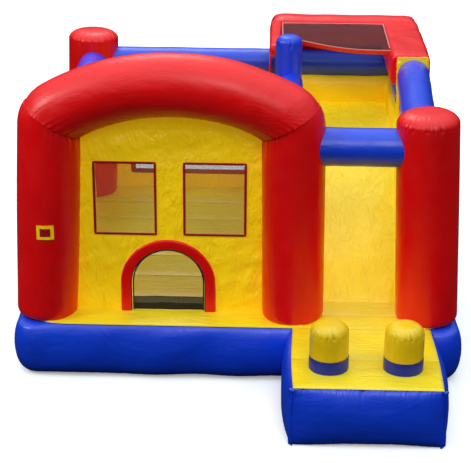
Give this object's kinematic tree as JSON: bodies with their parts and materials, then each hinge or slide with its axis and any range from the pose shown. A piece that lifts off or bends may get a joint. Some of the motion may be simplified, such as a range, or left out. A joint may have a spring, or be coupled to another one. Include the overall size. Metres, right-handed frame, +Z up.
{
  "type": "inflatable bounce house",
  "caption": "Inflatable bounce house with an arched entrance, mesh windows, a climbing tower, a slide with a padded landing, and the fan blower that keeps it filled.",
  "frame": {"origin": "on the ground under the middle of the whole assembly's box, blower included", "axes": "+X to the right seen from the front, -Y towards the front where the door and the landing are, +Z up"},
  "size_m": [3.87, 5.21, 2.666],
  "materials": {
    "baffle_vinyl": "matt coated vinyl",
    "blower_black": "moulded",
    "blower_shell": "moulded, fine grain",
    "blue_vinyl": "satin coated vinyl",
    "canopy_net": "open mesh",
    "dark_web": "woven webbing",
    "foot_rubber": "matt",
    "grommet_brass": "polished",
    "ground_vinyl": "matt coated vinyl",
    "impeller_plastic": "moulded",
    "khaki_net": "open mesh",
    "motor_metal": "cast",
    "red_vinyl": "satin coated vinyl",
    "screw_steel": "plated",
    "switch_red": "gloss",
    "yellow_vinyl": "satin coated vinyl",
    "zip_coil": "moulded",
    "zip_metal": "enamelled"
  },
  "bodies": {
    "house": {"air_baffles": "baffle_vinyl", "anchor_grommets": "grommet_brass", "anchor_tabs": "dark_web", "back_beam": "blue_vinyl", "back_left_column": "red_vinyl", "back_wall": "yellow_vinyl", "base_side_wall": "blue_vinyl", "blower_feet": "foot_rubber", "blower_handle": "blower_black", "blower_left_shell": "blower_shell", "blower_motor": "motor_metal", "blower_right_shell": "blower_shell", "blower_stand": "blower_black", "bounce_floor": "yellow_vinyl", "bumper_bands": "blue_vinyl", "canopy_hems": "red_vinyl", "canopy_mesh": "canopy_net", "canopy_tubes": "red_vinyl", "climbing_steps": "yellow_vinyl", "climbing_wall": "red_vinyl", "column_patch": "red_vinyl", "cord_gland": "blower_black", "door_arch_band": "red_vinyl", "entrance_frame": "red_vinyl", "front_arch": "red_vinyl", "front_slide_beam": "blue_vinyl", "front_wall": "yellow_vinyl", "ground_sheets": "ground_vinyl", "housing_screws": "screw_steel", "inlet_sleeve": "blue_vinyl", "inner_beam": "blue_vinyl", "inner_wall": "khaki_net", "intake_grilles": "blower_black", "landing_bumpers": "yellow_vinyl", "landing_side_wall": "blue_vinyl", "left_beam": "blue_vinyl", "left_front_column": "red_vinyl", "left_wall": "yellow_vinyl", "middle_front_column": "red_vinyl", "platform": "yellow_vinyl", "platform_bolsters": "yellow_vinyl", "right_beam": "blue_vinyl", "right_front_column": "red_vinyl", "sleeve_strap": "dark_web", "slide_bolsters": "yellow_vinyl", "slide_outer_wall": "yellow_vinyl", "slide_ramp": "yellow_vinyl", "slide_run_out": "yellow_vinyl", "switch_box": "blower_black", "tower_back_wall": "yellow_vinyl", "tower_post": "blue_vinyl", "tower_side_beam": "blue_vinyl", "window_meshes": "khaki_net", "window_trims": "red_vinyl", "zip_tape": "zip_coil"},
    "door_flap": {"door_flap": "khaki_net"},
    "impeller": {"blower_impeller": "impeller_plastic"},
    "switch_rocker": {"switch_rocker": "switch_red"},
    "zip_slider": {"zip_slider": "zip_metal"},
    "zip_pull": {"zip_pull": "zip_metal"}
  },
  "joints": [
    {"name": "door_flap_hinge", "type": "hinge", "parent": "house", "child": "door_flap", "pos_m": [-0.864, -1.2495, 0.73], "axis": [0, 0, 1], "range_deg": [0, 100]},
    {"name": "impeller_spin", "type": "hinge", "parent": "house", "child": "impeller", "pos_m": [-0.9, 2.435, 0.23], "axis": [1, 0, 0], "continuous": true},
    {"name": "switch_press", "type": "hinge", "parent": "house", "child": "switch_rocker", "pos_m": [-0.773, 2.53, 0.31], "axis": [0, 1, 0], "range_deg": [0, 20]},
    {"name": "zip_slide", "type": "slide", "parent": "house", "child": "zip_slider", "axis": [1, 0, 0], "range_m": [0, 0.49]},
    {"name": "zip_pull_swing", "type": "hinge", "parent": "zip_slider", "child": "zip_pull", "pos_m": [-0.305, 1.9414, 0.247], "axis": [1, 0, 0], "range_deg": [0, 150]}
  ]
}
